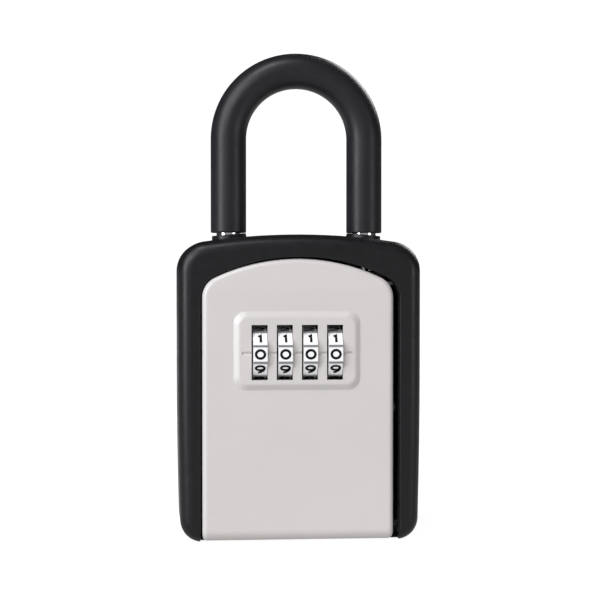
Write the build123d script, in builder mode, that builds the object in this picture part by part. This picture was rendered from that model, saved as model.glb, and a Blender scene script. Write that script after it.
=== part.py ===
from build123d import *
import os

# Key lock box: a zinc box in a black outer shell, with a bottom-hinged combination door and a lift-out
# shackle. Row frame: +Z up, the door faces -Y, the origin is at the middle of the base. Millimetres.

# ---- driving dimensions: case ----
CASE_HALF_WIDTH = 45.0
CASE_BASE_HALF = 44.0  # the sides draw in a little towards the base
CASE_DRAW_IN_Z = 65.0  # height where that starts
CASE_TOP = 113.5
TOP_ARCH_R = 238.0
TOP_CORNER_R = 11.0
BASE_CORNER_R = 8.2
SHELL_FRONT = -16.4
CASE_BACK = 19.5
SHELL_SKIN = 2.3
SHELL_FRONT_SKIN = 2.2
SHELL_EDGE_R = 4.8
PAD_THICK = 1.0
FIT_GAP = 0.1
BOX_WALL = 4.0
BOX_BACK_WALL = 2.5
BOX_FLANGE = 2.2

# ---- door ----
DOOR_X = -0.9  # the door sits at the left end of its side play
DOOR_HALF = 35.3
DOOR_TOP = 104.5
DOOR_BASE = 0.7
DOOR_ARCH_R = 71.5
DOOR_CORNER_R = 8.2
DOOR_FRONT = -17.4
DOOR_RIM_BACK = -9.2
DOOR_WALL = 2.0
DOOR_EDGE_R = 1.9
DOOR_LEAN_Z = 92.0  # above this the face leans back
DOOR_LEAN_DEG = 5.0
DOOR_LEAN_BLEND = 30.0
DOOR_FOOT_R = 4.0
OPENING_HALF = 36.75
OPENING_TOP = 105.2
SEAL_THICK = 0.8

# ---- door hinge ----
HINGE_Y = -11.8
HINGE_Z = 6.4
HINGE_PIN_R = 1.25
HINGE_SWEEP_R = 6.7  # kept clear around the hinge for the door's foot
FLOOR_EDGE = 3.6  # how far behind the hinge the shell's floor begins
KNUCKLE_LENGTH = 9.0

# ---- combination dials ----
MECH_X = DOOR_X - 0.5  # middle of the panel, dials and locking plate
DIAL_COUNT = 4
DIAL_PITCH = 9.25
DIAL_WIDTH = 5.2
DIAL_SHIFT = 0.2  # each dial sits to the right in its window
DIAL_CORNER_R = 9.9
DIAL_RIB_R = 0.35
DIAL_TIP_R = 10.1
DIAL_DIGITS = 10
DIAL_Z = 69.5
DIAL_Y = -10.9
BOSS_FRONT = -18.6
BOSS_WIDTH = 47.4
BOSS_HEIGHT = 29.6
BOSS_SLOPE = 2.4
BOSS_Z = 70.7
WINDOW_WIDTH = 5.95
WINDOW_Z = 70.1
WINDOW_HEIGHT = 20.2
INDEX_Z = 69.75  # the reading line across the panel
INDEX_HALF = 0.75
INDEX_DEPTH = 0.55
SHAFT_R = 2.0
HUB_R = 3.4
CAM_R = 5.9
CAM_SHIFT = 1.6  # sideways travel of the code-change slider
GATE_WIDTH = 1.9
GATE_FLOOR_R = 3.7

# ---- locking plate in the door ----
PLATE_THICK = 1.5
PLATE_BODY_WIDTH = 44.9
PLATE_BODY_SHIFT = -1.35  # the body reaches further left, over the lug there
PLATE_BODY_BASE = 82.2
PLATE_BODY_TOP = 90.0
PLATE_NECK_WIDTH = 18.0
PLATE_NECK_TOP = 101.2
PLATE_NOSE_WIDTH = 12.0
PLATE_NOSE_TOP = 107.1
PLATE_GUIDE_X = 13.0  # ribs in front of and behind the plate
PLATE_GUIDE_WIDTH = 2.0
FINGER_WIDTH = 1.1
FINGER_OFFSET = -4.35  # from a dial's middle to its finger
FINGER_TIP_R = 6.15

# ---- mechanism cover on the door's back ----
COVER_HALF = 28.6
COVER_BASE = 51.6
COVER_TOP = 93.2
COVER_BACK = 1.6
COVER_WALL = 1.3
COVER_FRONT = -15.2
COVER_BACK_WALL = 1.4

# ---- code-change slider, low in the mechanism ----
SLIDER_Z = 57.05
SLIDER_HEIGHT = 3.7
SLIDER_TAB_WIDTH = 5.0
SLIDER_TAB_HEIGHT = 2.5

# ---- shackle ----
SHACKLE_HALF = 25.7
SHACKLE_Y = 2.0
SHACKLE_BEND_Z = 149.6
ROD_R = 4.5
SLEEVE_R = 6.68
SLEEVE_BASE = 114.3
ROD_TIP_Z = 96.4
NOTCH_Z = 99.5
NOTCH_HEIGHT = 2.2
NOTCH_DEPTH = 2.0
SHACKLE_LATCH_TRAVEL = 2.4
SOCKET_R = 4.65
SOCKET_HALF = 7.2
SOCKET_BASE = 95.9
SOCKET_TOP = 106.5
SOCKET_FRONT = -5.2
LOCK_COVER_THICK = 1.2
LOCK_SCREW_R = 1.3
LOCK_SCREW_HEAD = 1.4
LOCK_SCREW_Y = 13.0

# ---- wall fixing ----
MOUNT_X = 23.0
MOUNT_Z_LOW = 18.0
MOUNT_Z_HIGH = 82.0
MOUNT_HOLE_R = 2.3

os.makedirs("parts", exist_ok=True)


def facing(y):
    """A sketch plane at depth y that faces the front; its extrusions run towards -Y."""
    return Plane.XZ.offset(-y)


def write(built, name):
    """Labels a finished piece and writes it as its own STEP file."""
    built.part.label = name
    export_step(built.part, f"parts/{name}.step")


def cut_cross(at, width, blade, depth):
    """Cuts a cross recess for a driver into a screw head, into +Z of the given plane."""
    with Locations(at):
        Box(width, blade, depth, align=(Align.CENTER, Align.CENTER, Align.MIN), mode=Mode.SUBTRACT)
        Box(blade, width, depth, align=(Align.CENTER, Align.CENTER, Align.MIN), mode=Mode.SUBTRACT)


def dial_centre(index):
    """X of the middle of a dial, counted from the left."""
    return MECH_X + (index - (DIAL_COUNT - 1) / 2) * DIAL_PITCH + DIAL_SHIFT


def case_face(inset=0.0):
    """The case's front outline: flat base, sides that draw in below, arched top, round corners."""
    shoulder = CASE_TOP - (TOP_ARCH_R - (TOP_ARCH_R**2 - CASE_HALF_WIDTH**2) ** 0.5)
    with BuildSketch() as outline:
        with BuildLine():
            Line((-CASE_BASE_HALF, 0), (CASE_BASE_HALF, 0))
            for side in (1, -1):
                TangentArc(
                    (side * CASE_HALF_WIDTH, CASE_DRAW_IN_Z),
                    (side * CASE_BASE_HALF, 0),
                    tangent=(0, -1),
                )
                Line(
                    (side * CASE_HALF_WIDTH, CASE_DRAW_IN_Z),
                    (side * CASE_HALF_WIDTH, shoulder),
                )
            ThreePointArc((-CASE_HALF_WIDTH, shoulder), (0, CASE_TOP), (CASE_HALF_WIDTH, shoulder))
        make_face()
        corners = outline.vertices().group_by(Axis.Y)
        fillet(corners[0], radius=BASE_CORNER_R)
        fillet(outline.vertices().group_by(Axis.Y)[-1], radius=TOP_CORNER_R)
        if inset:
            offset(amount=-inset, mode=Mode.REPLACE)
    return outline.sketch


def arched_face(half, top, arch_r, corner_r, base, middle=0.0):
    """An outline with straight sides, a flat base and an arched top, as the door and its opening have."""
    shoulder = top - (arch_r - (arch_r**2 - half**2) ** 0.5)
    left, right = middle - half, middle + half
    with BuildSketch() as outline:
        with BuildLine():
            Polyline((left, shoulder), (left, base), (right, base), (right, shoulder))
            ThreePointArc((left, shoulder), (middle, top), (right, shoulder))
        make_face()
        fillet(outline.vertices().group_by(Axis.Y)[-1], radius=corner_r)
    return outline.sketch


CASE_FACE = case_face()
BOX_FACE = case_face(SHELL_SKIN + FIT_GAP)
SHELL_CAVITY_FACE = case_face(SHELL_SKIN)
CAVITY_FACE = case_face(SHELL_SKIN + FIT_GAP + BOX_WALL)
PAD_FACE = case_face(6.0)
BELOW = -20.0
OPENING_FACE = arched_face(OPENING_HALF, OPENING_TOP, DOOR_ARCH_R + 1, DOOR_CORNER_R + 1, BELOW)
FLANGE_OPENING_FACE = arched_face(
    OPENING_HALF + SEAL_THICK, OPENING_TOP + SEAL_THICK, DOOR_ARCH_R + 2, DOOR_CORNER_R + 2, BELOW
)
DOOR_FACE = arched_face(DOOR_HALF, DOOR_TOP, DOOR_ARCH_R, DOOR_CORNER_R, DOOR_BASE, DOOR_X)
DOOR_HOLLOW_FACE = arched_face(
    DOOR_HALF - DOOR_WALL,
    DOOR_TOP - DOOR_WALL,
    DOOR_ARCH_R - DOOR_WALL,
    DOOR_CORNER_R - DOOR_WALL,
    12.5,
    DOOR_X,
)
LEG_CENTRES = [(-SHACKLE_HALF, SHACKLE_Y), (SHACKLE_HALF, SHACKLE_Y)]
MOUNT_POINTS = [(x, z) for x in (-MOUNT_X, MOUNT_X) for z in (MOUNT_Z_LOW, MOUNT_Z_HIGH)]
BOX_FRONT = SHELL_FRONT + SHELL_FRONT_SKIN + FIT_GAP
FLANGE_BACK = BOX_FRONT + BOX_FLANGE
CAVITY_BACK = CASE_BACK - BOX_BACK_WALL
CAVITY_HALF = CASE_HALF_WIDTH - SHELL_SKIN - FIT_GAP - BOX_WALL
CAVITY_FLOOR = SHELL_SKIN + FIT_GAP + BOX_WALL
DIAL_CENTRES = [dial_centre(i) for i in range(DIAL_COUNT)]

# Screws that hold the shell to the box: two through the floor, two through the side walls.
SHELL_SCREW_R = 1.2
SHELL_SCREW_HEAD_R = 2.3
SHELL_SCREW_HEAD = 1.3
SHELL_SCREW_Y = 8.0
SHELL_SCREW_X = 28.0
SHELL_SCREW_Z = 48.0
SHELL_SCREW_BITE = 1.7
FLOOR_SCREWS = [
    Plane((side * SHELL_SCREW_X, SHELL_SCREW_Y, CAVITY_FLOOR), z_dir=(0, 0, -1)) for side in (-1, 1)
]
SIDE_SCREWS = [
    Plane((side * (CAVITY_HALF - 0.1), SHELL_SCREW_Y, SHELL_SCREW_Z), z_dir=(side, 0, 0))
    for side in (-1, 1)
]
SHELL_SCREW_LENGTH = BOX_WALL + FIT_GAP + SHELL_SCREW_BITE


# ================= case =================
with BuildPart() as outer_shell:
    with BuildSketch(facing(CASE_BACK)):
        add(CASE_FACE)
    extrude(amount=CASE_BACK - SHELL_FRONT)
    fillet(outer_shell.faces().sort_by(Axis.Y)[0].edges(), radius=SHELL_EDGE_R)
    fillet(outer_shell.faces().sort_by(Axis.Y)[-1].edges(), radius=0.8)
    with BuildSketch(facing(CASE_BACK)):
        add(SHELL_CAVITY_FACE)
    extrude(amount=CASE_BACK - SHELL_FRONT - SHELL_FRONT_SKIN, mode=Mode.SUBTRACT)
    with BuildSketch(facing(SHELL_FRONT + SHELL_FRONT_SKIN)):
        add(OPENING_FACE)
    extrude(amount=SHELL_FRONT_SKIN + 1, mode=Mode.SUBTRACT)
    # the floor stops short of the door's foot, with a curved front that clears its swing
    with BuildSketch(Plane.YZ.offset(-OPENING_HALF)):
        with Locations((HINGE_Y, HINGE_Z)):
            Circle(HINGE_SWEEP_R)
        with Locations((HINGE_Y, HINGE_Z - HINGE_SWEEP_R)):
            Rectangle(2 * FLOOR_EDGE, 2 * HINGE_SWEEP_R)
    extrude(amount=2 * OPENING_HALF, mode=Mode.SUBTRACT)
    with BuildSketch(Plane.XY.offset(CASE_TOP - 8)):
        with Locations(*LEG_CENTRES):
            Circle(5.8)
    extrude(amount=10, mode=Mode.SUBTRACT)
    with Locations(*FLOOR_SCREWS, *SIDE_SCREWS):
        Cylinder(
            SHELL_SCREW_R,
            SHELL_SCREW_LENGTH,
            align=(Align.CENTER, Align.CENTER, Align.MIN),
            mode=Mode.SUBTRACT,
        )
    # a soft inner lip where the door opening meets the front face
    front_edges = outer_shell.faces().sort_by(Axis.Y)[0].edges()
    opening_edges = front_edges.filter_by(
        lambda e: abs(e.center().X) < OPENING_HALF + 0.01 and e.center().Z > 1
    )
    fillet(opening_edges, radius=0.45)
write(outer_shell, "outer_shell")

with BuildPart() as inner_box:
    with BuildSketch(facing(CASE_BACK)):
        add(BOX_FACE)
    extrude(amount=CASE_BACK - BOX_FRONT)
    with BuildSketch(facing(CAVITY_BACK)):
        add(CAVITY_FACE)
    extrude(amount=CAVITY_BACK - FLANGE_BACK, mode=Mode.SUBTRACT)
    with BuildSketch(facing(FLANGE_BACK)):
        add(FLANGE_OPENING_FACE)
    extrude(amount=BOX_FLANGE + 1, mode=Mode.SUBTRACT)
    # ears beside the door's foot for the hinge pins
    for side in (-1, 1):
        with Locations((side * (OPENING_HALF + CAVITY_HALF + 0.4) / 2, HINGE_Y + 2.3, 8.4)):
            Box(CAVITY_HALF - OPENING_HALF + 0.4, 9.2, 8.8)
    # sockets for the shackle's legs, joined to the top and back walls
    for x, y in LEG_CENTRES:
        with Locations((x, (SOCKET_FRONT + CAVITY_BACK + 0.5) / 2, (SOCKET_BASE + SOCKET_TOP) / 2)):
            Box(2 * SOCKET_HALF, CAVITY_BACK + 0.5 - SOCKET_FRONT, SOCKET_TOP - SOCKET_BASE)
    with BuildSketch(Plane.XY.offset(SOCKET_BASE - 1)):
        with Locations(*LEG_CENTRES):
            Circle(SOCKET_R)
    extrude(amount=25, mode=Mode.SUBTRACT)
    with BuildSketch(Plane.XY.offset(108.6)):
        with Locations(*LEG_CENTRES):
            Circle(5.6)
    extrude(amount=8, mode=Mode.SUBTRACT)
    # slot across both sockets for the shackle latch
    with Locations((0, (SOCKET_FRONT - 0.1 + 8.9) / 2, NOTCH_Z + NOTCH_HEIGHT / 2)):
        Box(75, 8.9 - SOCKET_FRONT + 0.1, NOTCH_HEIGHT, mode=Mode.SUBTRACT)
    # strike pocket above the locking plate's nose
    with Locations((MECH_X, (FLANGE_BACK - 7.8) / 2, 105.6)):
        Box(16, -7.8 - FLANGE_BACK, 5.6, mode=Mode.SUBTRACT)
    # room for the door's foot
    with BuildSketch(Plane.YZ.offset(-OPENING_HALF)):
        with Locations((HINGE_Y, HINGE_Z)):
            Circle(HINGE_SWEEP_R)
    extrude(amount=2 * OPENING_HALF, mode=Mode.SUBTRACT)
    with BuildSketch(Plane.YZ.offset(-CASE_HALF_WIDTH)):
        with Locations((HINGE_Y, HINGE_Z)):
            Circle(HINGE_PIN_R + 0.02)
    extrude(amount=2 * CASE_HALF_WIDTH, mode=Mode.SUBTRACT)
    with Locations(*FLOOR_SCREWS, *SIDE_SCREWS):
        Cylinder(
            SHELL_SCREW_R + 0.05,
            BOX_WALL + 1,
            align=(Align.CENTER, Align.CENTER, Align.MIN),
            mode=Mode.SUBTRACT,
        )
    # wall-fixing holes, countersunk from inside
    with BuildSketch(facing(CASE_BACK + 1)):
        with Locations(*MOUNT_POINTS):
            Circle(MOUNT_HOLE_R)
    extrude(amount=BOX_BACK_WALL + 2, mode=Mode.SUBTRACT)
    # screw holes under the sockets for the lock cover
    with Locations(*[(x, LOCK_SCREW_Y, SOCKET_BASE) for x, y in LEG_CENTRES]):
        Cylinder(LOCK_SCREW_R, 7, align=(Align.CENTER, Align.CENTER, Align.MIN), mode=Mode.SUBTRACT)
write(inner_box, "inner_box")

with BuildPart() as rear_pad:
    with BuildSketch(facing(CASE_BACK + PAD_THICK)):
        add(PAD_FACE)
        with Locations(*MOUNT_POINTS):
            Circle(MOUNT_HOLE_R + 0.9, mode=Mode.SUBTRACT)
    extrude(amount=PAD_THICK)
    fillet(rear_pad.faces().sort_by(Axis.Y)[-1].outer_wire().edges(), radius=0.4)
write(rear_pad, "rear_pad")

with BuildPart() as door_seal:
    with BuildSketch(facing(FLANGE_BACK)):
        add(FLANGE_OPENING_FACE)
        add(OPENING_FACE, mode=Mode.SUBTRACT)
        with Locations((0, BELOW / 2)):
            Rectangle(100, -BELOW + 2 * 14.0, mode=Mode.SUBTRACT)
    extrude(amount=BOX_FLANGE)
write(door_seal, "door_seal")

with BuildPart() as hinge_pins:
    for side in (-1, 1):
        with BuildSketch(Plane.YZ.offset(side * 41.0)):
            with Locations((HINGE_Y, HINGE_Z)):
                Circle(HINGE_PIN_R)
        extrude(amount=-side * 13.2)
    chamfer(hinge_pins.edges().filter_by(GeomType.CIRCLE), length=0.25)
write(hinge_pins, "hinge_pins")

with BuildPart() as shell_screws:
    with Locations(*FLOOR_SCREWS, *SIDE_SCREWS):
        Cylinder(
            SHELL_SCREW_R - 0.02,
            SHELL_SCREW_LENGTH - 0.2,
            align=(Align.CENTER, Align.CENTER, Align.MIN),
        )
        Cylinder(
            SHELL_SCREW_HEAD_R, SHELL_SCREW_HEAD, align=(Align.CENTER, Align.CENTER, Align.MAX)
        )
    heads = shell_screws.edges().filter_by(lambda e: abs(e.length - 6.2832 * SHELL_SCREW_HEAD_R) < 0.01)
    chamfer(heads, length=0.3)
    for seat in (*FLOOR_SCREWS, *SIDE_SCREWS):
        cut_cross(seat.offset(-SHELL_SCREW_HEAD), 2.6, 0.6, 0.8)
write(shell_screws, "shell_screws")

# ================= shackle collars =================
COLLAR_BASE_R = 6.75
COLLAR_TOP_R = 6.25
COLLAR_BASE_SHIFT = 0.55  # the skirt sits a little nearer the middle than the leg
COLLAR_LIFT = 1.5
COLLAR_SLOPE = 0.085
with BuildPart() as shackle_collars:
    for side in (-1, 1):
        arch_z = CASE_TOP - SHACKLE_HALF**2 / (2 * TOP_ARCH_R)
        with BuildPart(mode=Mode.PRIVATE) as collar:
            with BuildSketch(Plane.XY.offset(arch_z - 1.6)):
                with Locations((side * (SHACKLE_HALF - COLLAR_BASE_SHIFT), SHACKLE_Y)):
                    Circle(COLLAR_BASE_R)
            with BuildSketch(Plane.XY.offset(arch_z + COLLAR_LIFT + 2)):
                with Locations((side * SHACKLE_HALF, SHACKLE_Y)):
                    Circle(COLLAR_TOP_R)
            loft()
            # the top slopes outwards, a little less than the arch under it
            cut = Plane(
                (side * SHACKLE_HALF, SHACKLE_Y, arch_z + COLLAR_LIFT),
                x_dir=(1, 0, -side * COLLAR_SLOPE),
                z_dir=(side * COLLAR_SLOPE, 0, 1),
            )
            split(bisect_by=cut, keep=Keep.BOTTOM)
            with BuildSketch(facing(CASE_BACK)):
                add(CASE_FACE)
            extrude(amount=CASE_BACK - SHELL_FRONT, mode=Mode.SUBTRACT)
            with BuildSketch(Plane.XY.offset(108.7)):
                with Locations((side * SHACKLE_HALF, SHACKLE_Y)):
                    Circle(5.5)
            extrude(amount=arch_z - 108.7 + 0.6)
            with BuildSketch(Plane.XY.offset(108)):
                with Locations((side * SHACKLE_HALF, SHACKLE_Y)):
                    Circle(SOCKET_R + 0.05)
            extrude(amount=12, mode=Mode.SUBTRACT)
        add(collar.part)
write(shackle_collars, "shackle_collars")

# ================= shackle =================
with BuildPart() as shackle_rod:
    with BuildLine() as bow:
        Line((-SHACKLE_HALF, SHACKLE_Y, ROD_TIP_Z), (-SHACKLE_HALF, SHACKLE_Y, SHACKLE_BEND_Z))
        ThreePointArc(
            (-SHACKLE_HALF, SHACKLE_Y, SHACKLE_BEND_Z),
            (0, SHACKLE_Y, SHACKLE_BEND_Z + SHACKLE_HALF),
            (SHACKLE_HALF, SHACKLE_Y, SHACKLE_BEND_Z),
        )
        Line((SHACKLE_HALF, SHACKLE_Y, SHACKLE_BEND_Z), (SHACKLE_HALF, SHACKLE_Y, ROD_TIP_Z))
    with BuildSketch(Plane((-SHACKLE_HALF, SHACKLE_Y, ROD_TIP_Z))):
        Circle(ROD_R)
    sweep()
    chamfer(shackle_rod.faces().group_by(Axis.Z)[0].edges(), length=0.8)
    # a notch on the right of each leg takes the latch
    with Locations(
        *[(x + ROD_R - NOTCH_DEPTH + 2, y, NOTCH_Z + NOTCH_HEIGHT / 2) for x, y in LEG_CENTRES]
    ):
        Box(4, 12, NOTCH_HEIGHT, mode=Mode.SUBTRACT)
write(shackle_rod, "shackle_rod")

with BuildPart() as shackle_sleeve:
    with BuildLine() as tube:
        Line((-SHACKLE_HALF, SHACKLE_Y, SLEEVE_BASE), (-SHACKLE_HALF, SHACKLE_Y, SHACKLE_BEND_Z))
        ThreePointArc(
            (-SHACKLE_HALF, SHACKLE_Y, SHACKLE_BEND_Z),
            (0, SHACKLE_Y, SHACKLE_BEND_Z + SHACKLE_HALF),
            (SHACKLE_HALF, SHACKLE_Y, SHACKLE_BEND_Z),
        )
        Line((SHACKLE_HALF, SHACKLE_Y, SHACKLE_BEND_Z), (SHACKLE_HALF, SHACKLE_Y, SLEEVE_BASE))
    with BuildSketch(Plane((-SHACKLE_HALF, SHACKLE_Y, SLEEVE_BASE))):
        Circle(SLEEVE_R)
        Circle(ROD_R + 0.02, mode=Mode.SUBTRACT)
    sweep()
    fillet(shackle_sleeve.faces().group_by(Axis.Z)[0].edges(), radius=0.5)
write(shackle_sleeve, "shackle_sleeve")

# ================= shackle latch, inside the case's top =================
LATCH_THICK = 1.6
LATCH_Z = NOTCH_Z + (NOTCH_HEIGHT - LATCH_THICK) / 2
LATCH_FRONT = -4.0
LATCH_BACK = 8.6
LATCH_LEFT = -SHACKLE_HALF + ROD_R - NOTCH_DEPTH + 0.1
LATCH_RIGHT = 33.6
WINDOW_RIGHT = SHACKLE_HALF + ROD_R - NOTCH_DEPTH + 0.1
WINDOW_LEFT = SHACKLE_HALF - SOCKET_R - SHACKLE_LATCH_TRAVEL - 0.4
WINDOW_BACK = SHACKLE_Y + ROD_R + 0.4
TAB_HALF = 6.0
TAB_TIP_Z = 91.6
with BuildPart() as shackle_latch:
    with BuildSketch(Plane.XY.offset(LATCH_Z)):
        with Locations(((LATCH_LEFT + LATCH_RIGHT) / 2, (LATCH_FRONT + LATCH_BACK) / 2)):
            Rectangle(LATCH_RIGHT - LATCH_LEFT, LATCH_BACK - LATCH_FRONT)
        with Locations(((WINDOW_LEFT + WINDOW_RIGHT) / 2, (LATCH_FRONT + WINDOW_BACK) / 2)):
            Rectangle(WINDOW_RIGHT - WINDOW_LEFT, WINDOW_BACK - LATCH_FRONT, mode=Mode.SUBTRACT)
    extrude(amount=LATCH_THICK)
    # thumb tab that hangs through the cover into the key space
    with Locations((0, 5.0, (TAB_TIP_Z + LATCH_Z + 0.2) / 2)):
        Box(2 * TAB_HALF, 2.4, LATCH_Z + 0.2 - TAB_TIP_Z)
    tab_foot = shackle_latch.faces().sort_by(Axis.Z)[0]
    fillet(tab_foot.edges(), radius=0.8)
write(shackle_latch, "shackle_latch")

LOCK_COVER_Z = SOCKET_BASE - LOCK_COVER_THICK
with BuildPart() as lock_cover:
    with BuildSketch(Plane.XY.offset(LOCK_COVER_Z)):
        with Locations((0, 5.6)):
            RectangleRounded(74, 22, 1.5)
        with Locations((SHACKLE_LATCH_TRAVEL / 2, 5.0)):
            SlotOverall(2 * TAB_HALF + SHACKLE_LATCH_TRAVEL + 4.6, 3.4, mode=Mode.SUBTRACT)
        with Locations(*[(x, LOCK_SCREW_Y) for x, y in LEG_CENTRES]):
            Circle(LOCK_SCREW_R + 0.4, mode=Mode.SUBTRACT)
    extrude(amount=LOCK_COVER_THICK)
write(lock_cover, "lock_cover")

with BuildPart() as lock_cover_screws:
    for x, y in LEG_CENTRES:
        with Locations((x, LOCK_SCREW_Y, LOCK_COVER_Z)):
            Cylinder(LOCK_SCREW_R - 0.05, 6.5, align=(Align.CENTER, Align.CENTER, Align.MIN))
            Cylinder(2.6, LOCK_SCREW_HEAD, align=(Align.CENTER, Align.CENTER, Align.MAX))
    chamfer(lock_cover_screws.faces().group_by(Axis.Z)[0].edges(), length=0.35)
    for x, y in LEG_CENTRES:
        cut_cross(Plane((x, LOCK_SCREW_Y, LOCK_COVER_Z - LOCK_SCREW_HEAD)), 3.0, 0.7, 0.9)
write(lock_cover_screws, "lock_cover_screws")


def coil(radius, wire_r, height, turns):
    """A closed coil spring of round wire along +Z from the origin, its ends inside the height."""
    pitch = (height - 2 * wire_r) / turns
    with BuildPart() as spring:
        with BuildLine():
            Helix(pitch, height - 2 * wire_r, radius, center=(0, 0, wire_r))
        with BuildSketch(Plane((radius, 0, wire_r), z_dir=(0, 1, 0))):
            Circle(wire_r)
        sweep(is_frenet=True)
    return spring.part


SPRING_WIRE_R = 0.2
SHACKLE_SPRING_LENGTH = 4.5
shackle_spring_coil = coil(0.95, SPRING_WIRE_R, SHACKLE_SPRING_LENGTH, 3)
with BuildPart() as shackle_latch_spring:
    with Locations(Plane((LATCH_RIGHT + 0.05, SHACKLE_Y, LATCH_Z + LATCH_THICK / 2), z_dir=(1, 0, 0))):
        add(shackle_spring_coil)
write(shackle_latch_spring, "shackle_latch_spring")

# ================= door =================
# The face leans back above DOOR_LEAN_Z with a soft bend, and the foot is rounded over the hinge.
with BuildSketch(Plane.YZ.offset(-60)) as door_section:
    with BuildLine():
        foot = (DOOR_FRONT + DOOR_FOOT_R, DOOR_BASE)
        front_low = (DOOR_FRONT, DOOR_BASE + DOOR_FOOT_R)
        upright = Line(front_low, (DOOR_FRONT, DOOR_LEAN_Z))
        TangentArc(front_low, foot, tangent=(0, -1))
        bend = CenterArc(
            (DOOR_FRONT + DOOR_LEAN_BLEND, DOOR_LEAN_Z), DOOR_LEAN_BLEND, 180, -DOOR_LEAN_DEG
        )
        lean = PolarLine(bend @ 1, 14, 90 - DOOR_LEAN_DEG)
        Polyline(lean @ 1, (DOOR_RIM_BACK, (lean @ 1).Y), (DOOR_RIM_BACK, DOOR_BASE), foot)
    make_face()

EAR_R = 2.3
COVER_SCREW_SEAT = -11.7
COVER_SCREW_HEAD = 1.3
SCREW_POINTS = [(DOOR_X + x, z) for x in (-31.0, 31.0) for z in (56.0, 89.0)]
SHAFT_LEFT = dial_centre(0) - 9.3
SHAFT_RIGHT = dial_centre(DIAL_COUNT - 1) + 5.6
LUG_THICK = 2.4
LUG_HEIGHT = 8.0
LUG_FRONT = -17.3  # rooted in the panel's wall
LUG_BACK = -7.4
LUG_LEFT = SHAFT_LEFT + 0.2
LUG_RIGHT = SHAFT_RIGHT - 0.2 - LUG_THICK
with BuildPart() as door_cover:
    with BuildSketch(facing(DOOR_RIM_BACK)):
        add(DOOR_FACE)
    extrude(amount=DOOR_RIM_BACK - DOOR_FRONT + 1)
    extrude(door_section.sketch, amount=120, mode=Mode.INTERSECT)
    rim_edges = door_cover.edges().filter_by(
        lambda e: e.center().Y < DOOR_FRONT + 1.6 and e.length > 1 and e.center().Z > DOOR_BASE + 3
    )
    outer_edges = rim_edges.filter_by(
        lambda e: abs(abs(e.center().X - DOOR_X) - DOOR_HALF) < 0.2 or e.center().Z > 94.5
    )
    fillet(outer_edges, radius=DOOR_EDGE_R)
    # raised dial panel with sloped sides
    with BuildSketch(facing(DOOR_FRONT + 0.2)):
        with Locations((MECH_X, BOSS_Z)):
            RectangleRounded(BOSS_WIDTH, BOSS_HEIGHT, 4.6)
    with BuildSketch(facing(BOSS_FRONT)):
        with Locations((MECH_X, BOSS_Z)):
            RectangleRounded(BOSS_WIDTH - 2 * BOSS_SLOPE, BOSS_HEIGHT - 2 * BOSS_SLOPE, 3.2)
    loft()
    fillet(door_cover.faces().sort_by(Axis.Y)[0].edges(), radius=1.6)
    # hollow back
    with BuildSketch(facing(DOOR_RIM_BACK + 1)):
        add(DOOR_HOLLOW_FACE)
    extrude(amount=DOOR_RIM_BACK + 1 - COVER_FRONT, mode=Mode.SUBTRACT)
    with Locations((DOOR_X, (DOOR_RIM_BACK + COVER_FRONT) / 2 + 0.5, 7.8)):
        Box(2 * (DOOR_HALF - KNUCKLE_LENGTH), DOOR_RIM_BACK - COVER_FRONT + 1, 9.6, mode=Mode.SUBTRACT)
    # deeper pocket behind the dial panel
    with Locations((MECH_X - 1.0, (COVER_FRONT - 17.0) / 2, DIAL_Z)):
        Box(41, COVER_FRONT + 17.0 + 0.02, 22.4, mode=Mode.SUBTRACT)
    # lugs for the dial shaft
    for lug_x in (LUG_LEFT, LUG_RIGHT):
        with Locations((lug_x + LUG_THICK / 2, (LUG_FRONT + LUG_BACK) / 2, DIAL_Z)):
            Box(LUG_THICK, LUG_BACK - LUG_FRONT, LUG_HEIGHT)
    with BuildSketch(Plane.YZ.offset(-40)):
        with Locations((DIAL_Y, DIAL_Z)):
            Circle(SHAFT_R + 0.03)
    extrude(amount=80, mode=Mode.SUBTRACT)
    # side rails and front ribs that guide the locking plate
    for rail_x in (MECH_X - 24.7, MECH_X + 22.0):
        with Locations((rail_x, (COVER_FRONT - 9.6) / 2 - 0.1, 86.2)):
            Box(1.6, -9.6 - COVER_FRONT + 0.2, 8.4)
    for rib_x in (MECH_X - PLATE_GUIDE_X, MECH_X + PLATE_GUIDE_X):
        with Locations((rib_x, (COVER_FRONT - 11.75) / 2 - 0.1, 86.9)):
            Box(PLATE_GUIDE_WIDTH, -11.75 - COVER_FRONT + 0.2, 9.0)
    # bosses for the cover's screws
    with BuildSketch(facing(-13.3)):
        with Locations(*SCREW_POINTS):
            Circle(EAR_R)
    extrude(amount=2.2)
    with BuildSketch(facing(-13.0)):
        with Locations(*SCREW_POINTS):
            Circle(1.05)
    extrude(amount=3.4, mode=Mode.SUBTRACT)
    # windows
    with BuildSketch(facing(-14.0)):
        with Locations(*[(x - DIAL_SHIFT, WINDOW_Z) for x in DIAL_CENTRES]):
            Rectangle(WINDOW_WIDTH, WINDOW_HEIGHT)
    extrude(amount=10, mode=Mode.SUBTRACT)
    # index line: a V groove across the panel at the reading height
    with BuildSketch(Plane.YZ.offset(MECH_X - 20.3)):
        with BuildLine():
            Polyline(
                (BOSS_FRONT - 0.01, INDEX_Z + INDEX_HALF),
                (BOSS_FRONT - 0.01, INDEX_Z - INDEX_HALF),
                (BOSS_FRONT + INDEX_DEPTH, INDEX_Z),
                close=True,
            )
        make_face()
    extrude(amount=40.6, mode=Mode.SUBTRACT)
    # slot in the top rim for the locking plate's nose
    with Locations((MECH_X, (-11.95 - 9.0) / 2, 103.0)):
        Box(12.6, -9.0 + 11.95, 8, mode=Mode.SUBTRACT)
    # bores for the hinge pins
    with BuildSketch(Plane.YZ.offset(-40)):
        with Locations((HINGE_Y, HINGE_Z)):
            Circle(HINGE_PIN_R + 0.05)
    extrude(amount=80, mode=Mode.SUBTRACT)
write(door_cover, "door_cover")

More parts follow.
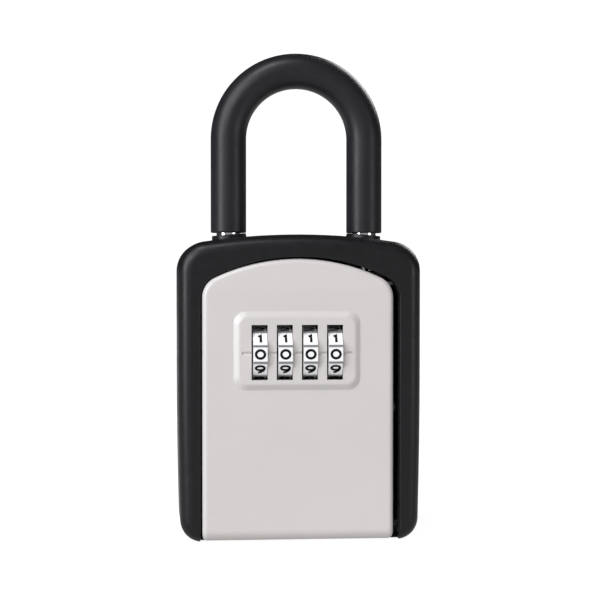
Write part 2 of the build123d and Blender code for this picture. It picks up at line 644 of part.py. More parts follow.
# ================= mechanism cover =================
with BuildPart() as mechanism_cover:
    cover_height = COVER_TOP - COVER_BASE
    cover_mid_z = (COVER_TOP + COVER_BASE) / 2
    with BuildSketch(facing(COVER_BACK)):
        with Locations((DOOR_X, cover_mid_z)):
            RectangleRounded(2 * COVER_HALF, cover_height, 2.5)
    extrude(amount=COVER_BACK - COVER_FRONT)
    fillet(mechanism_cover.faces().sort_by(Axis.Y)[-1].edges(), radius=1.0)
    with BuildSketch(facing(COVER_BACK - COVER_BACK_WALL)):
        with Locations((DOOR_X, cover_mid_z)):
            RectangleRounded(2 * (COVER_HALF - COVER_WALL), cover_height - 2 * COVER_WALL, 1.2)
    extrude(amount=COVER_BACK - COVER_BACK_WALL - COVER_FRONT, mode=Mode.SUBTRACT)
    # ears for the screws, webbed to the side walls
    for x, z in SCREW_POINTS:
        inward = 1 if x < DOOR_X else -1
        with BuildSketch(facing(COVER_SCREW_SEAT)):
            with Locations((x, z)):
                Circle(EAR_R)
            with Locations((x + inward * 1.6, z)):
                Rectangle(3.2, 2 * EAR_R)
            with Locations((x, z)):
                Circle(1.25, mode=Mode.SUBTRACT)
        extrude(amount=1.6)
    # pads behind the detent spring and ribs behind the locking plate
    with Locations((MECH_X, 0.0, 82.3)):
        Box(36, 0.6, 3.4)
    for rib_x in (MECH_X - PLATE_GUIDE_X, MECH_X + PLATE_GUIDE_X):
        with Locations((rib_x, -4.8, 88.0)):
            Box(PLATE_GUIDE_WIDTH, 10.5, 7.0)
    # notch in the top wall for the locking plate's neck
    with Locations((MECH_X, (COVER_FRONT - 9.6) / 2 - 0.1, COVER_TOP - 0.5)):
        Box(19.4, -9.6 - COVER_FRONT + 0.2, 3.0, mode=Mode.SUBTRACT)
    # slot for the code-change tab
    with BuildSketch(facing(COVER_BACK + 1)):
        with Locations((MECH_X - CAM_SHIFT / 2, SLIDER_Z)):
            SlotOverall(12.6, SLIDER_TAB_HEIGHT + 0.6)
    extrude(amount=3.0, mode=Mode.SUBTRACT)
write(mechanism_cover, "mechanism_cover")

with BuildPart() as cover_screws:
    for x, z in SCREW_POINTS:
        with Locations(Plane((x, COVER_SCREW_SEAT, z), z_dir=(0, -1, 0))):
            Cylinder(1.0, 4.4, align=(Align.CENTER, Align.CENTER, Align.MIN))
            Cylinder(2.0, COVER_SCREW_HEAD, align=(Align.CENTER, Align.CENTER, Align.MAX))
    chamfer(cover_screws.faces().group_by(Axis.Y)[-1].edges(), length=0.3)
    for x, z in SCREW_POINTS:
        cut_cross(Plane((x, COVER_SCREW_SEAT + COVER_SCREW_HEAD, z), z_dir=(0, -1, 0)), 2.4, 0.6, 0.8)
write(cover_screws, "cover_screws")

# ================= dial shaft and clips =================
CLIP_THICK = 0.5
with BuildPart() as dial_shaft:
    with BuildSketch(Plane.YZ.offset(SHAFT_LEFT - 1.0)):
        with Locations((DIAL_Y, DIAL_Z)):
            Circle(SHAFT_R)
    extrude(amount=SHAFT_RIGHT - SHAFT_LEFT + 2.0)
    for groove_x in (LUG_LEFT - CLIP_THICK - 0.1, LUG_RIGHT + LUG_THICK + 0.1):
        with BuildSketch(Plane.YZ.offset(groove_x - 0.03)):
            with Locations((DIAL_Y, DIAL_Z)):
                Circle(SHAFT_R + 1)
                Circle(1.5, mode=Mode.SUBTRACT)
        extrude(amount=CLIP_THICK + 0.06, mode=Mode.SUBTRACT)
write(dial_shaft, "dial_shaft")

with BuildPart() as shaft_clips:
    for groove_x in (LUG_LEFT - CLIP_THICK - 0.1, LUG_RIGHT + LUG_THICK + 0.1):
        with BuildSketch(Plane.YZ.offset(groove_x)):
            with Locations((DIAL_Y, DIAL_Z)):
                Circle(3.4)
                Circle(1.53, mode=Mode.SUBTRACT)
            with Locations((DIAL_Y, DIAL_Z - 3)):
                Rectangle(2.4, 3.4, mode=Mode.SUBTRACT)
        extrude(amount=CLIP_THICK)
write(shaft_clips, "shaft_clips")

# ================= dials and their code cams =================
WEB_RECESS_R = 7.5
WEB_RECESS = 1.2
CLUTCH_DEPTH = 1.4
for number, middle in enumerate(DIAL_CENTRES, start=1):
    left = middle - DIAL_WIDTH / 2
    with BuildPart() as dial:
        with BuildSketch(Plane.YZ.offset(left)):
            with Locations((DIAL_Y, DIAL_Z)):
                RegularPolygon(DIAL_CORNER_R, DIAL_DIGITS, rotation=18)
                with PolarLocations(DIAL_TIP_R - DIAL_RIB_R, DIAL_DIGITS, start_angle=18):
                    Circle(DIAL_RIB_R)
                Circle(HUB_R + 0.08, mode=Mode.SUBTRACT)
        extrude(amount=DIAL_WIDTH)
        with BuildSketch(Plane.YZ.offset(left)):
            with Locations((DIAL_Y, DIAL_Z)):
                Circle(WEB_RECESS_R)
        extrude(amount=WEB_RECESS, mode=Mode.SUBTRACT)
        # ten clutch notches round the bore take the cam's tooth
        with BuildSketch(Plane.YZ.offset(left + WEB_RECESS)):
            with Locations((DIAL_Y, DIAL_Z)):
                with PolarLocations(HUB_R + 0.5, DIAL_DIGITS, start_angle=18):
                    Rectangle(1.6, 1.5)
        extrude(amount=CLUTCH_DEPTH, mode=Mode.SUBTRACT)
    write(dial, f"dial_{number}")

    flange_left = middle - 5.0
    with BuildPart() as cam:
        with BuildSketch(Plane.YZ.offset(flange_left)):
            with Locations((DIAL_Y, DIAL_Z)):
                Circle(CAM_R)
        extrude(amount=1.3)
        # the gate faces up at the set code; the slot at the back lies between two digits
        with BuildSketch(Plane.YZ.offset(flange_left)):
            with Locations((DIAL_Y, DIAL_Z + GATE_FLOOR_R + 2)):
                Rectangle(GATE_WIDTH, 4)
            with Locations((DIAL_Y + GATE_FLOOR_R + 2, DIAL_Z)):
                Rectangle(4, GATE_WIDTH)
        extrude(amount=1.3, mode=Mode.SUBTRACT)
        with BuildSketch(Plane.YZ.offset(flange_left)):
            with Locations((DIAL_Y, DIAL_Z)):
                Circle(HUB_R)
        extrude(amount=7.3)
        with BuildSketch(Plane.YZ.offset(middle - 2.75)):
            with Locations((DIAL_Y, DIAL_Z)):
                Circle(4.6)
        extrude(amount=0.55)
        with BuildSketch(Plane.YZ.offset(middle - 1.4)):
            with Locations((DIAL_Y, DIAL_Z)):
                with PolarLocations(HUB_R + 0.3, 1, start_angle=18 + 8 * 36):
                    Rectangle(1.5, 1.2)
        extrude(amount=1.2)
        with BuildSketch(Plane.YZ.offset(flange_left - 1)):
            with Locations((DIAL_Y, DIAL_Z)):
                Circle(SHAFT_R + 0.05)
        extrude(amount=12, mode=Mode.SUBTRACT)
    write(cam, f"code_cam_{number}")

# ================= detent spring =================
with BuildPart() as detent_spring:
    spring_back = -0.3
    with BuildSketch(facing(spring_back)):
        with Locations((MECH_X, 82.4)):
            Rectangle(35, 3.2)
        for middle in DIAL_CENTRES:
            with Locations((middle, 73.6)):
                Rectangle(3.4, 15)
    extrude(amount=0.4)
write(detent_spring, "detent_spring")

# ================= locking plate =================
PLATE_FRONT = DIAL_Y - PLATE_THICK / 2
with BuildPart() as locking_plate:
    with BuildSketch(facing(PLATE_FRONT + PLATE_THICK)):
        with Locations((MECH_X + PLATE_BODY_SHIFT, (PLATE_BODY_BASE + PLATE_BODY_TOP) / 2)):
            Rectangle(PLATE_BODY_WIDTH, PLATE_BODY_TOP - PLATE_BODY_BASE)
        with Locations((MECH_X, (PLATE_BODY_TOP + PLATE_NECK_TOP) / 2)):
            Rectangle(PLATE_NECK_WIDTH, PLATE_NECK_TOP - PLATE_BODY_TOP)
        with Locations((MECH_X, (PLATE_NECK_TOP + PLATE_NOSE_TOP) / 2)):
            Rectangle(PLATE_NOSE_WIDTH, PLATE_NOSE_TOP - PLATE_NECK_TOP)
        for middle in DIAL_CENTRES:
            tip = DIAL_Z + FINGER_TIP_R
            with Locations((middle + FINGER_OFFSET, (tip + PLATE_BODY_BASE + 0.8) / 2)):
                Rectangle(FINGER_WIDTH, PLATE_BODY_BASE + 0.8 - tip)
    extrude(amount=PLATE_THICK)
    nose_edges = locking_plate.faces().sort_by(Axis.Z)[-1].edges().filter_by(Axis.X)
    chamfer(nose_edges, length=0.6)
write(locking_plate, "locking_plate")

SPRING_SEAT_Z = DIAL_Z + LUG_HEIGHT / 2
plate_spring_coil = coil(1.1, SPRING_WIRE_R, PLATE_BODY_BASE - SPRING_SEAT_Z - 0.1, 6)
with BuildPart() as latch_springs:
    with Locations(
        *[(x + LUG_THICK / 2, DIAL_Y, SPRING_SEAT_Z + 0.05) for x in (LUG_LEFT, LUG_RIGHT)]
    ):
        add(plate_spring_coil)
write(latch_springs, "latch_springs")

# ================= code-change slider =================
FORK_HALF = 4.1
with BuildPart() as code_slider:
    with Locations((MECH_X - 3.0, -11.5, SLIDER_Z)):
        Box(36, 4.0, SLIDER_HEIGHT)
    for middle in DIAL_CENTRES:
        with BuildSketch(Plane.YZ.offset(middle - 3.6)):
            with Locations((DIAL_Y, 64.5)):
                Rectangle(2 * FORK_HALF, 13.0)
            with Locations((DIAL_Y, DIAL_Z)):
                Circle(HUB_R + 0.15, mode=Mode.SUBTRACT)
            with Locations((DIAL_Y, DIAL_Z + 3)):
                Rectangle(2 * (HUB_R + 0.15), 6, mode=Mode.SUBTRACT)
        extrude(amount=0.75)
    with Locations((MECH_X, -3.7, SLIDER_Z)):
        Box(SLIDER_TAB_WIDTH, 12.2, SLIDER_TAB_HEIGHT)
    fillet(code_slider.faces().sort_by(Axis.Y)[-1].edges(), radius=0.5)
write(code_slider, "code_slider")
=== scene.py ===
"""Looks for the key lock box: materials, the dials' numerals, the springs, studio light and camera."""

import math

import bpy
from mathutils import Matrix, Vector


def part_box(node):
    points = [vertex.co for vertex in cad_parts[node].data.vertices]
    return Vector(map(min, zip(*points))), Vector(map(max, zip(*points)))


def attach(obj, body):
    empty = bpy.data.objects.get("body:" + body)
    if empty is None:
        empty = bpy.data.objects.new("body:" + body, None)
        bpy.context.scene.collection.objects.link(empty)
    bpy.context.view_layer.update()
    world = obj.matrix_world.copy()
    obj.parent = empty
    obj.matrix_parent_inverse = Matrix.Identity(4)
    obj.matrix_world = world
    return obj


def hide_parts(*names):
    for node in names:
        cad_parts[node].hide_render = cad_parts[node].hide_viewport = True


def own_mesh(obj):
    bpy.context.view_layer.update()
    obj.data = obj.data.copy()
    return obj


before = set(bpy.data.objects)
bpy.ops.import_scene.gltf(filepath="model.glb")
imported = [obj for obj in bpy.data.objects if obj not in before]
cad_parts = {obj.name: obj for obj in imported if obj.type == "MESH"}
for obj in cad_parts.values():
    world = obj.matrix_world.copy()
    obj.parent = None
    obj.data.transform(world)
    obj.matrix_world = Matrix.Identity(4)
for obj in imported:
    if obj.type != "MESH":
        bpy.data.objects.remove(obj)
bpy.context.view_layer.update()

MM = 0.001

# ---- places read from the frame ----
DIALS = [f"dial_{number}" for number in range(1, 5)]
dial_low, dial_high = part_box("dial_1")
shaft_low, shaft_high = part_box("dial_shaft")
DIAL_AXIS_Y = (shaft_low.y + shaft_high.y) / 2
DIAL_AXIS_Z = (dial_low.z + dial_high.z) / 2

# ---- dials: ten flat facets, with ribs between them ----
FACETS = 10
FACET_TURN = math.tau / FACETS
DIAL_CORNER_R = 9.9 * MM
FACET_R = DIAL_CORNER_R * math.cos(FACET_TURN / 2)
# Painted shade: the dials' colour darkens from this radius out to the rib tips and facet corners.
RIB_SHADE_START = DIAL_CORNER_R - 0.20 * MM
RIB_SHADE_END = DIAL_CORNER_R - 0.02 * MM

# ---- numerals ----
STROKE = 0.92 * MM
INK_THICK = 0.03 * MM
HALF_WIDTH = 1.62 * MM
HALF_HEIGHT = 1.49 * MM
ARC_STEP = math.radians(9)
MITRE_LIMIT = 1.9

# ---- springs: node, body that holds the fixed end, joint, the way it closes, and how far ----
SPRINGS = [
    ("shackle_latch_spring", "case", "shackle_latch_slide", Vector((1, 0, 0)), 2.4 * MM),
    ("latch_springs", "door", "locking_plate_slide", Vector((0, 0, -1)), 2.2 * MM),
]

# ---- studio ----
FLOOR_HALF = 3.0
BACKDROP_WHITE = 1.05
FRONT_AMBIENT = 0.44
SIDE_AMBIENT = 0.06
COOL_WHITE = (0.94, 0.95, 1.0)

# ---- camera ----
CAMERA_PLACE = Vector((-0.055, -0.6265, 0.100))
CAMERA_TARGET = Vector((0.0012, 0.0, 0.0890))
LENS = 100.0


# ================= material building =================
class Look:
    """One procedural Principled material; its methods add nodes and return their output sockets."""

    def __init__(self, name):
        self.material = bpy.data.materials.new(name)
        self.material.use_nodes = True
        self.tree = self.material.node_tree
        self.shader = next(n for n in self.tree.nodes if n.type == "BSDF_PRINCIPLED")
        self.place = self.add("ShaderNodeTexCoord").outputs["Object"]

    def add(self, kind, **inputs):
        node = self.tree.nodes.new(kind)
        for key, value in inputs.items():
            socket = node.inputs[key.replace("_", " ")]
            if isinstance(value, bpy.types.NodeSocket):
                self.tree.links.new(value, socket)
            else:
                socket.default_value = value
        return node

    def stretched(self, scale):
        """Object coordinates scaled apart along X, Y and Z, for grain that runs one way."""
        mapping = self.add("ShaderNodeMapping", Vector=self.place, Scale=scale)
        return mapping.outputs["Vector"]

    def noise(self, scale, detail=3.0, roughness=0.55, vector=None):
        vector = vector or self.place
        node = self.add("ShaderNodeTexNoise", Vector=vector, Scale=scale, Detail=detail, Roughness=roughness)
        return node.outputs["Fac"]

    def cells(self, scale):
        node = self.add("ShaderNodeTexVoronoi", Vector=self.place, Scale=scale)
        return node.outputs["Distance"]

    def spread(self, value, low, high, start=0.3, end=0.7):
        """Maps a texture value between start and end onto low to high."""
        node = self.add("ShaderNodeMapRange", Value=value)
        node.inputs["From Min"].default_value = start
        node.inputs["From Max"].default_value = end
        node.inputs["To Min"].default_value = low
        node.inputs["To Max"].default_value = high
        return node.outputs["Result"]

    def blend(self, value, first, second):
        """A colour between two others, by a texture value."""
        node = self.tree.nodes.new("ShaderNodeMix")
        node.data_type = "RGBA"
        self.tree.links.new(value, node.inputs["Factor"])
        node.inputs["A"].default_value = (*first, 1)
        node.inputs["B"].default_value = (*second, 1)
        return node.outputs["Result"]

    def multiply(self, first, second):
        """The product of two colours."""
        node = self.tree.nodes.new("ShaderNodeMix")
        node.data_type = "RGBA"
        node.blend_type = "MULTIPLY"
        node.inputs["Factor"].default_value = 1.0
        self.tree.links.new(first, node.inputs["A"])
        self.tree.links.new(second, node.inputs["B"])
        return node.outputs["Result"]

    def set(self, name, value):
        socket = self.shader.inputs[name]
        if isinstance(value, bpy.types.NodeSocket):
            self.tree.links.new(value, socket)
        else:
            socket.default_value = value

    def bump(self, *layers):
        """Layers of (height socket, depth in metres), stacked into the shader's normal."""
        normal = None
        for height, depth in layers:
            node = self.add("ShaderNodeBump", Height=height, Distance=depth)
            if normal is not None:
                self.tree.links.new(normal, node.inputs["Normal"])
            normal = node.outputs["Normal"]
        self.set("Normal", normal)


def shade(colour, factor):
    return tuple(channel * factor for channel in colour)


def moulded(name, colour, roughness):
    """Moulded plastic: a spark-eroded grain, faint flow mottling and uneven gloss."""
    look = Look(name)
    mottle = look.noise(60.0, detail=4.0)
    grain = look.noise(2400.0, detail=2.0, roughness=0.6)
    tone = look.spread(mottle, 0.0, 1.0)
    look.set("Base Color", look.blend(tone, shade(colour, 0.88), shade(colour, 1.12)))
    look.set("Roughness", look.spread(look.noise(320.0), roughness - 0.05, roughness + 0.05))
    look.set("Specular IOR Level", 0.30)
    look.bump((grain, 0.004 * MM), (look.noise(150.0), 0.01 * MM))
    return look


def painted(name, colour, roughness):
    """Sprayed satin paint on metal: orange peel, a fine speckle and a thin clear gloss."""
    look = Look(name)
    cloud = look.noise(35.0, detail=3.0)
    speck = look.noise(5200.0, detail=1.0)
    body = look.blend(look.spread(cloud, 0.0, 1.0), shade(colour, 0.985), shade(colour, 1.015))
    dots = look.blend(look.spread(speck, 0.0, 1.0, 0.35, 0.65), (0.965, 0.965, 0.965), (1.0, 1.0, 1.0))
    look.set("Base Color", look.multiply(body, dots))
    look.set("Roughness", look.spread(look.noise(420.0), roughness - 0.04, roughness + 0.04))
    look.set("Coat Weight", 0.12)
    look.set("Coat Roughness", 0.22)
    look.bump((look.noise(700.0, detail=2.0), 0.010 * MM), (speck, 0.002 * MM))
    return look


def drawn_metal(name, colour, grain_scale=(1.0, 1.0, 14.0), grain=900.0, depth=0.003 * MM, vary=0.1):
    """Bare or plated metal with a drawn grain one way and plating clouds; also returns the grain."""
    look = Look(name)
    drawn = look.noise(grain, detail=3.0, vector=look.stretched(grain_scale))
    cloud = look.noise(180.0, detail=4.0)
    tone = look.spread(cloud, 0.0, 1.0)
    look.set("Base Color", look.blend(tone, shade(colour, 1 - vary), shade(colour, 1 + vary)))
    look.set("Metallic", 1.0)
    look.bump((drawn, depth))
    return look, drawn


def metal(name, colour, roughness, **finish):
    """Drawn metal whose polish follows the grain."""
    look, drawn = drawn_metal(name, colour, **finish)
    look.set("Roughness", look.spread(drawn, roughness * 0.75, roughness * 1.25))
    return look


def zinc_plate():
    """Zinc plating: fine spangle, a faint blue cast and a soft sheen."""
    look, _ = drawn_metal("zinc_plate", (0.50, 0.51, 0.53), vary=0.14)
    spangle = look.cells(1400.0)
    look.set("Roughness", look.spread(spangle, 0.26, 0.42, 0.0, 0.8))
    return look


def from_dial_axis(look):
    """Distance from the dials' axis, in metres."""
    split = look.add("ShaderNodeSeparateXYZ", Vector=look.place)
    across = look.add("ShaderNodeCombineXYZ", Y=split.outputs["Y"], Z=split.outputs["Z"])
    radius = look.add("ShaderNodeVectorMath")
    radius.operation = "DISTANCE"
    look.tree.links.new(across.outputs["Vector"], radius.inputs[0])
    radius.inputs[1].default_value = (0.0, DIAL_AXIS_Y, DIAL_AXIS_Z)
    return radius.outputs["Value"]


def dial_silver():
    """Satin-plated dials: pale silver, brushed along the axis, with painted shade darkening the ribs and
    facet corners.
    """
    look = Look("dial_silver")
    brushed = look.noise(700.0, detail=3.0, vector=look.stretched((1.0, 12.0, 12.0)))
    tone = look.spread(brushed, 0.0, 1.0)
    plating = look.blend(tone, (0.80, 0.80, 0.80), (0.86, 0.86, 0.86))
    # Painted shade: the colour darkens towards the rib tips and facet corners, where the ribs look shaded.
    rib_shade = look.spread(from_dial_axis(look), 0.0, 1.0, RIB_SHADE_START, RIB_SHADE_END)
    shaded = look.blend(rib_shade, (1.0, 1.0, 1.0), (0.22, 0.22, 0.22))
    look.set("Base Color", look.multiply(plating, shaded))
    look.set("Metallic", 0.15)
    look.set("Roughness", look.spread(brushed, 0.26, 0.40))
    look.bump((brushed, 0.003 * MM))
    return look


def cast_coat():
    """Dark coated casting: a pebbled skin with shallow pits."""
    look = Look("cast_coat")
    pebble = look.noise(950.0, detail=4.0, roughness=0.6)
    tone = look.spread(look.noise(90.0), 0.0, 1.0)
    look.set("Base Color", look.blend(tone, (0.050, 0.050, 0.054), (0.075, 0.075, 0.080)))
    look.set("Metallic", 0.3)
    look.set("Roughness", look.spread(pebble, 0.42, 0.62))
    look.bump((pebble, 0.05 * MM), (look.noise(150.0), 0.03 * MM))
    return look


def foam_rubber():
    """Closed-cell rubber: small round cells and a chalky surface."""
    look = Look("foam_rubber")
    cell = look.cells(1500.0)
    tone = look.spread(look.noise(120.0), 0.0, 1.0)
    look.set("Base Color", look.blend(tone, (0.012, 0.012, 0.012), (0.024, 0.024, 0.024)))
    look.set("Roughness", look.spread(look.noise(300.0), 0.70, 0.88))
    look.bump((cell, 0.05 * MM), (look.noise(500.0), 0.02 * MM))
    return look


def soft_vinyl():
    """Dipped vinyl sleeve: near-black, a soft satin skin with a very fine grain."""
    look = Look("soft_vinyl")
    mottle = look.noise(70.0, detail=4.0)
    grain = look.noise(3000.0, detail=2.0)
    tone = look.spread(mottle, 0.0, 1.0)
    look.set("Base Color", look.blend(tone, (0.0080, 0.0078, 0.0098), (0.0110, 0.0105, 0.0130)))
    look.set("Roughness", look.spread(look.noise(260.0), 0.35, 0.42))
    look.set("Specular IOR Level", 0.30)
    look.bump((grain, 0.008 * MM), (look.noise(110.0), 0.02 * MM))
    return look


def numeral_ink():
    """Black filling paint of the numerals, a little uneven in depth and gloss."""
    look = Look("numeral_ink")
    patch = look.noise(1800.0, detail=3.0)
    tone = look.spread(patch, 0.0, 1.0)
    look.set("Base Color", look.blend(tone, (0.0025, 0.0025, 0.0025), (0.005, 0.005, 0.005)))
    look.set("Roughness", look.spread(patch, 0.50, 0.65))
    look.set("Specular IOR Level", 0.15)
    look.bump((patch, 0.01 * MM))
    return look


LOOKS = {
    "black_plastic": moulded("satin_black_plastic", (0.0048, 0.0048, 0.0056), 0.37),
    "cast_box": cast_coat(),
    "black_rubber": foam_rubber(),
    "plain_steel": zinc_plate(),
    "spring_steel": metal("spring_steel", (0.42, 0.42, 0.44), 0.22, grain_scale=(8.0, 8.0, 1.0)),
    "chromed_steel": metal(
        "bright_chrome", (0.78, 0.78, 0.80), 0.07, grain=1500.0, depth=0.001 * MM, vary=0.03
    ),
    "vinyl_sleeve": soft_vinyl(),
    "grey_paint": painted("light_grey_paint", (0.528, 0.503, 0.485), 0.34),
    "dial_silver": dial_silver(),
    "black_steel": metal("black_oxide_steel", (0.022, 0.022, 0.024), 0.42, vary=0.2),
    "slider_plastic": moulded("slider_plastic", (0.26, 0.26, 0.27), 0.45),
}


def dress_nodes():
    """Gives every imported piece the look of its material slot."""
    for name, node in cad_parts.items():
        for slot in node.material_slots:
            slot.material = LOOKS[slot.material.name.split(".")[0]].material


# ================= numerals =================
def arc(middle, radii, start, end):
    """Points on an elliptical arc, in units of the half width and half height; degrees."""
    start, end = math.radians(start), math.radians(end)
    steps = max(2, round(abs(end - start) / ARC_STEP))
    turns = [start + (end - start) * step / steps for step in range(steps + 1)]
    return [(middle[0] + radii[0] * math.cos(t), middle[1] + radii[1] * math.sin(t)) for t in turns]


def half_turned(path):
    """The same stroke turned upside down, which makes a 6 into a 9."""
    return [(-x, -y) for x, y in path]


SIX = arc((0.70, -0.38), (1.66, 1.40), 98, 180) + arc((0.0, -0.38), (0.96, 0.62), 180, 540)[1:]
# Each numeral is one or two strokes; x runs from -1 to 1 across it and y from -1 to 1 up it.
NUMERALS = {
    0: [arc((0.0, 0.0), (1.0, 1.0), 90, 450)],
    1: [[(-0.42, 0.66), (0.14, 1.0), (0.14, -1.0)]],
    2: [arc((0.0, 0.45), (0.92, 0.55), 165, -38) + [(-0.92, -1.0), (0.96, -1.0)]],
    3: [arc((0.0, 0.51), (0.80, 0.49), 155, -90) + arc((0.0, -0.49), (0.94, 0.51), 90, -155)[1:]],
    4: [[(0.42, -1.0), (0.42, 1.0), (-0.96, -0.42), (0.96, -0.42)]],
    5: [[(0.80, 1.0), (-0.66, 1.0), (-0.76, 0.10)] + arc((0.0, -0.36), (0.94, 0.64), 128, -150)],
    6: [SIX],
    7: [[(-0.94, 1.0), (0.90, 1.0), (-0.30, -1.0)]],
    8: [
        arc((0.0, 0.51), (0.78, 0.49), -90, 270),
        arc((0.0, -0.49), (0.96, 0.51), 90, 450),
    ],
    9: [half_turned(SIX)],
}


def ribbon_sides(path):
    """The two edges of a stroke of even width along a path, mitred at its corners."""
    closed = (Vector(path[0]) - Vector(path[-1])).length < 1e-9
    points = [Vector(p) for p in (path[:-1] if closed else path)]
    count = len(points)
    left, right = [], []
    for i, point in enumerate(points):
        before = points[i - 1] if closed or i else None
        after = points[(i + 1) % count] if closed or i < count - 1 else None
        way_in = (point - before).normalized() if before is not None else None
        way_out = (after - point).normalized() if after is not None else None
        along = ((way_in or way_out) + (way_out or way_in)).normalized()
        across = Vector((-along.y, along.x))
        facing = way_out or way_in
        widen = 1.0 / max(1.0 / MITRE_LIMIT, along.dot(facing))
        left.append(point + across * STROKE / 2 * widen)
        right.append(point - across * STROKE / 2 * widen)
    return left, right, closed


def add_stroke(verts, faces, path, to_space):
    """A closed solid ribbon for one stroke, added to the lists of corners and faces."""
    left, right, closed = ribbon_sides([(x * HALF_WIDTH, y * HALF_HEIGHT) for x, y in path])
    count = len(left)
    base = len(verts)
    for edge in (left, right):
        for lift in (0.0, INK_THICK):
            verts.extend(to_space(p.x, p.y, lift) for p in edge)
    low_l, top_l, low_r, top_r = (base + count * k for k in range(4))
    spans = range(count if closed else count - 1)
    for i in spans:
        j = (i + 1) % count
        faces.append((top_r + i, top_r + j, top_l + j, top_l + i))
        faces.append((low_l + i, low_l + j, low_r + j, low_r + i))
        faces.append((low_l + j, low_l + i, top_l + i, top_l + j))
        faces.append((low_r + i, low_r + j, top_r + j, top_r + i))
    if not closed:
        last = count - 1
        faces.append((low_l, low_r, top_r, top_l))
        faces.append((low_r + last, low_l + last, top_l + last, top_r + last))


def make_numerals(dial):
    """The ten numerals round one dial: 0 faces the front at rest, 1 is above it and 9 below."""
    low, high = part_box(dial)
    middle_x = (low.x + high.x) / 2
    verts, faces = [], []
    for digit, strokes in NUMERALS.items():
        turn = digit * FACET_TURN
        outward = Vector((0, -math.cos(turn), math.sin(turn)))
        upward = Vector((0, math.sin(turn), math.cos(turn)))
        centre = Vector((middle_x, DIAL_AXIS_Y, DIAL_AXIS_Z)) + outward * FACET_R

        def to_space(x, y, lift):
            return centre + Vector((x, 0, 0)) + upward * y + outward * lift

        for path in strokes:
            add_stroke(verts, faces, path, to_space)
    mesh = bpy.data.meshes.new(f"{dial}_numerals")
    mesh.from_pydata(verts, [], faces)
    mesh.validate()
    piece = bpy.data.objects.new(f"{dial}_numerals", mesh)
    bpy.context.scene.collection.objects.link(piece)
    return piece


# ================= springs =================
def make_spring(node, body, joint, closing, travel):
    """A copy of a CAD spring's coils in place of the hidden CAD piece, riding on the body that holds its
    fixed end.
    """
    coils = bpy.data.objects.new(f"{node}_coils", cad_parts[node].data.copy())
    bpy.context.scene.collection.objects.link(coils)
    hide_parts(node)
    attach(coils, body)
    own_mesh(coils)


# ================= studio =================
def make_floor():
    """A wide pale floor with a faint paper tooth."""
    mesh = bpy.data.meshes.new("studio_floor")
    half = FLOOR_HALF
    corners = [(-half, -half, 0), (half, -half, 0), (half, half, 0), (-half, half, 0)]
    mesh.from_pydata(corners, [], [(0, 1, 2, 3)])
    floor = bpy.data.objects.new("studio_floor", mesh)
    bpy.context.scene.collection.objects.link(floor)
    look = Look("white_paper")
    tone = look.spread(look.noise(8.0), 0.0, 1.0)
    look.set("Base Color", look.blend(tone, (0.21, 0.21, 0.21), (0.23, 0.23, 0.23)))
    look.set("Roughness", 0.9)
    look.set("Specular IOR Level", 0.0)
    look.set("Emission Color", (1.0, 1.0, 1.0, 1))
    seen = look.add("ShaderNodeLightPath").outputs["Is Camera Ray"]
    look.set("Emission Strength", look.spread(seen, 0.42, 0.92, 0.0, 1.0))
    look.bump((look.noise(900.0), 0.02 * MM))
    mesh.materials.append(look.material)


def softbox(name, place, aim, size, power, colour=(1.0, 1.0, 1.0)):
    """A rectangular soft light at a place, turned towards aim."""
    light = bpy.data.lights.new(name, "AREA")
    light.shape = "RECTANGLE"
    light.size, light.size_y = size
    light.energy = power
    light.color = colour
    lamp = bpy.data.objects.new(name, light)
    lamp.location = place
    lamp.rotation_euler = (Vector(aim) - Vector(place)).to_track_quat("-Z", "Y").to_euler()
    bpy.context.scene.collection.objects.link(lamp)


def sun(name, towards_light, strength, spread, colour=(1.0, 1.0, 1.0)):
    """A distant soft source: spread is how wide it looks from the object, in degrees."""
    light = bpy.data.lights.new(name, "SUN")
    light.energy = strength
    light.angle = math.radians(spread)
    light.color = colour
    lamp = bpy.data.objects.new(name, light)
    lamp.rotation_euler = Vector(towards_light).to_track_quat("Z", "Y").to_euler()
    bpy.context.scene.collection.objects.link(lamp)


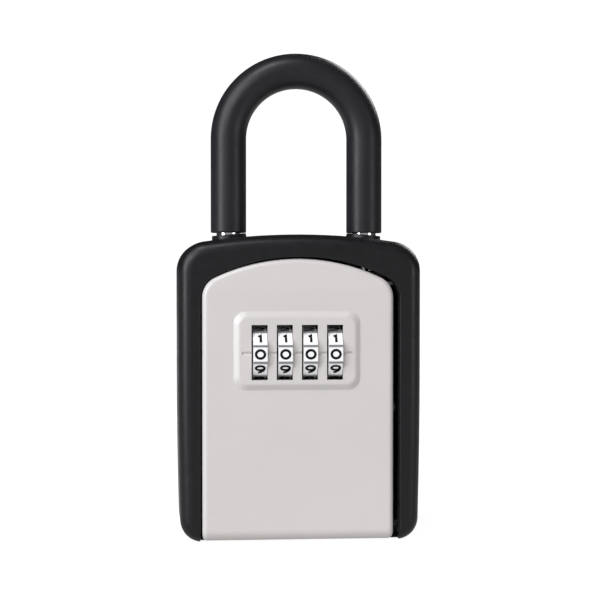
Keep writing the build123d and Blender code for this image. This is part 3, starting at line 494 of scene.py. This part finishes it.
def light_studio():
    """A broad key and a strip on the left, with weaker light from above, the front, behind and the right."""
    sun("key", (-0.70, -0.54, 0.46), 2.0, 40.0, COOL_WHITE)
    softbox("left_strip", (-0.68, -0.45, 0.17), (0, 0, 0.12), (0.30, 0.24), 1.9, COOL_WHITE)
    sun("overhead", (-0.26, -0.42, 0.87), 1.25, 20.0, (0.96, 0.97, 1.0))
    sun("front_left", (-0.37, -0.85, 0.37), 0.5, 14.0, (0.95, 0.96, 1.0))
    sun("back", (0.55, 0.65, 0.52), 1.3, 30.0)
    softbox("right_fill", (0.95, -0.80, 0.02), (0, 0, 0.09), (0.5, 0.5), 3.0)


def white_surround():
    """A white background for the camera; it lights the object from the front and little from elsewhere."""
    world = bpy.data.worlds.new("white_studio")
    bpy.context.scene.world = world
    world.use_nodes = True
    tree = world.node_tree
    seen = tree.nodes["Background"]
    seen.inputs["Color"].default_value = (1.0, 1.0, 1.0, 1)
    seen.inputs["Strength"].default_value = BACKDROP_WHITE
    towards = tree.nodes.new("ShaderNodeSeparateXYZ")
    tree.links.new(tree.nodes.new("ShaderNodeTexCoord").outputs["Generated"], towards.inputs[0])
    fade = tree.nodes.new("ShaderNodeMapRange")
    tree.links.new(towards.outputs["Y"], fade.inputs["Value"])
    fade.inputs["From Min"].default_value = -1.0
    fade.inputs["From Max"].default_value = 0.0
    fade.inputs["To Min"].default_value = FRONT_AMBIENT
    fade.inputs["To Max"].default_value = SIDE_AMBIENT
    dim = tree.nodes.new("ShaderNodeBackground")
    tree.links.new(fade.outputs["Result"], dim.inputs["Strength"])
    path = tree.nodes.new("ShaderNodeLightPath")
    mix = tree.nodes.new("ShaderNodeMixShader")
    tree.links.new(path.outputs["Is Camera Ray"], mix.inputs[0])
    tree.links.new(dim.outputs[0], mix.inputs[1])
    tree.links.new(seen.outputs[0], mix.inputs[2])
    tree.links.new(mix.outputs[0], tree.nodes["World Output"].inputs["Surface"])


def make_camera():
    """In front, a little to the left and about level with the middle of the object."""
    camera = bpy.data.objects.new("camera", bpy.data.cameras.new("camera"))
    camera.data.lens = LENS
    camera.data.clip_start = 0.01
    camera.location = CAMERA_PLACE
    camera.rotation_euler = (CAMERA_TARGET - CAMERA_PLACE).to_track_quat("-Z", "Y").to_euler()
    bpy.context.scene.collection.objects.link(camera)
    bpy.context.scene.camera = camera


make_camera()
dress_nodes()
ink = numeral_ink()
for dial in DIALS:
    numerals = make_numerals(dial)
    numerals.data.materials.append(ink.material)
    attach(numerals, dial)
for spring in SPRINGS:
    make_spring(*spring)
make_floor()
light_studio()
white_surround()
bpy.context.scene.view_settings.view_transform = "Standard"
